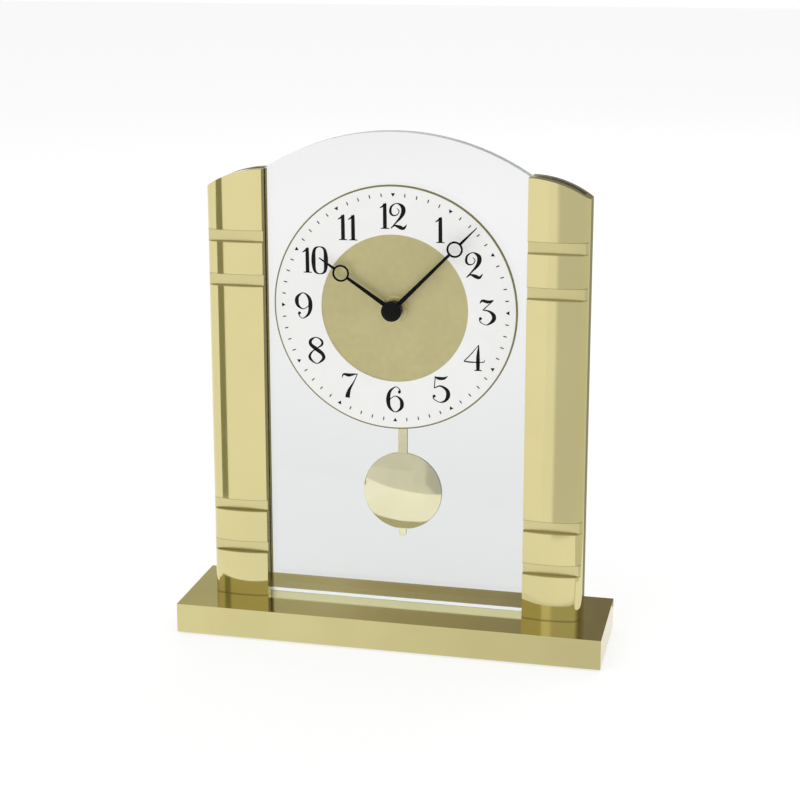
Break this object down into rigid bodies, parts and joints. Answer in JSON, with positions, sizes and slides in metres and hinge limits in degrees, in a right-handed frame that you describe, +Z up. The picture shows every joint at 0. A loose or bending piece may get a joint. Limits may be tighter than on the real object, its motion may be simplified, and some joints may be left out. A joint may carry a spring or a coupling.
{
  "type": "table clock",
  "caption": "Table clock with an arched glass pane held between grooved brass columns on a plinth, a round dial with two hands, and a pendulum swinging behind the glass.",
  "frame": {"origin": "middle of the underside, on the surface that the clock stands on", "axes": "+X to the clock's right as seen from the front, +Y from the dial to the back, +Z up"},
  "size_m": [0.187, 0.049, 0.2218],
  "materials": {
    "polished_brass": "polished",
    "plinth_brass": "polished",
    "dial_brass": "satin",
    "bush_brass": "turned",
    "silvered": "satin",
    "felt": "matte",
    "steel": "plain",
    "magnet": "plated",
    "nickel": "bright",
    "glass": "polished",
    "rubber": "matte",
    "case_plastic": "fine texture",
    "wheel_plastic": "moulded",
    "board": "lacquered",
    "copper_wire": "enamelled winding",
    "black_enamel": "gloss black",
    "battery_jacket": "printed steel can, plain"
  },
  "bodies": {
    "clock_body": {"base_plinth": "plinth_brass", "base_felt": "felt", "column_screws": "steel", "left_column": "polished_brass", "right_column": "polished_brass", "glass_panel": "glass", "dial_plate": "dial_brass", "chapter_ring": "silvered", "dial_washer": "polished_brass", "mounting_nut": "polished_brass", "mounting_bush": "bush_brass", "rubber_washer": "rubber", "movement_housing": "case_plastic", "movement_cover": "case_plastic", "train_bridge": "wheel_plastic", "bridge_screws": "steel", "stator": "magnet", "motor_coil": "copper_wire", "circuit_board": "board", "quartz_crystal": "nickel", "contact_positive": "nickel", "contact_negative": "nickel", "pendulum_pin": "steel", "drive_coil": "copper_wire"},
    "minute_work": {"minute_arbor": "bush_brass", "minute_hand": "black_enamel", "cap_nut": "black_enamel"},
    "hour_work": {"hour_wheel": "wheel_plastic", "hour_hand": "black_enamel"},
    "motion_work": {"motion_wheel": "wheel_plastic"},
    "setting_work": {"setting_knob": "case_plastic"},
    "centre_work": {"centre_wheel": "bush_brass"},
    "third_work": {"third_wheel": "wheel_plastic"},
    "fourth_work": {"fourth_wheel": "wheel_plastic"},
    "fifth_work": {"fifth_wheel": "wheel_plastic"},
    "rotor_work": {"rotor": "wheel_plastic", "rotor_magnet": "magnet"},
    "pendulum": {"pendulum_hanger": "wheel_plastic", "hanger_magnet": "magnet", "pendulum_rod": "polished_brass", "pendulum_bob": "polished_brass"},
    "battery_cell": {"battery": "battery_jacket"}
  },
  "joints": [
    {"name": "minute_hand_turn", "type": "hinge", "parent": "clock_body", "child": "minute_work", "pos_m": [0, 0.012, 0.1468], "axis": [0, 1, 0], "continuous": true},
    {"name": "hour_hand_turn", "type": "hinge", "parent": "clock_body", "child": "hour_work", "pos_m": [0, 0.012, 0.1468], "axis": [0, 1, 0], "continuous": true},
    {"name": "motion_wheel_turn", "type": "hinge", "parent": "clock_body", "child": "motion_work", "pos_m": [-0.0087, 0.012, 0.14274], "axis": [0, 1, 0], "continuous": true},
    {"name": "setting_knob_turn", "type": "hinge", "parent": "clock_body", "child": "setting_work", "pos_m": [-0.01797, 0.012, 0.14523], "axis": [0, 1, 0], "continuous": true},
    {"name": "rotor_spin", "type": "hinge", "parent": "clock_body", "child": "rotor_work", "pos_m": [0.02124, 0.012, 0.15231], "axis": [0, 1, 0], "continuous": true},
    {"name": "fifth_wheel_turn", "type": "hinge", "parent": "clock_body", "child": "fifth_work", "pos_m": [0.01738, 0.012, 0.14772], "axis": [0, 1, 0], "continuous": true},
    {"name": "fourth_wheel_turn", "type": "hinge", "parent": "clock_body", "child": "fourth_work", "pos_m": [0.01617, 0.012, 0.14082], "axis": [0, 1, 0], "continuous": true},
    {"name": "third_wheel_turn", "type": "hinge", "parent": "clock_body", "child": "third_work", "pos_m": [0.00779, 0.012, 0.1423], "axis": [0, 1, 0], "continuous": true},
    {"name": "centre_wheel_turn", "type": "hinge", "parent": "clock_body", "child": "centre_work", "pos_m": [0, 0.012, 0.1468], "axis": [0, 1, 0], "continuous": true},
    {"name": "pendulum_swing", "type": "hinge", "parent": "clock_body", "child": "pendulum", "pos_m": [0, 0.016, 0.1268], "axis": [0, 1, 0], "range_deg": [-6, 6]},
    {"name": "battery_pull", "type": "slide", "parent": "clock_body", "child": "battery_cell", "axis": [0, 1, 0], "range_m": [0, 0.03]}
  ],
  "couplings": [
    {"joint": "hour_hand_turn", "follows": "minute_hand_turn", "ratio": 0.083333},
    {"joint": "motion_wheel_turn", "follows": "minute_hand_turn", "ratio": -0.33333},
    {"joint": "setting_knob_turn", "follows": "minute_hand_turn", "ratio": 1},
    {"joint": "fifth_wheel_turn", "follows": "rotor_spin", "ratio": -0.2},
    {"joint": "fourth_wheel_turn", "follows": "rotor_spin", "ratio": 0.033333},
    {"joint": "third_wheel_turn", "follows": "rotor_spin", "ratio": -0.0044444},
    {"joint": "centre_wheel_turn", "follows": "rotor_spin", "ratio": 0.00055556}
  ]
}
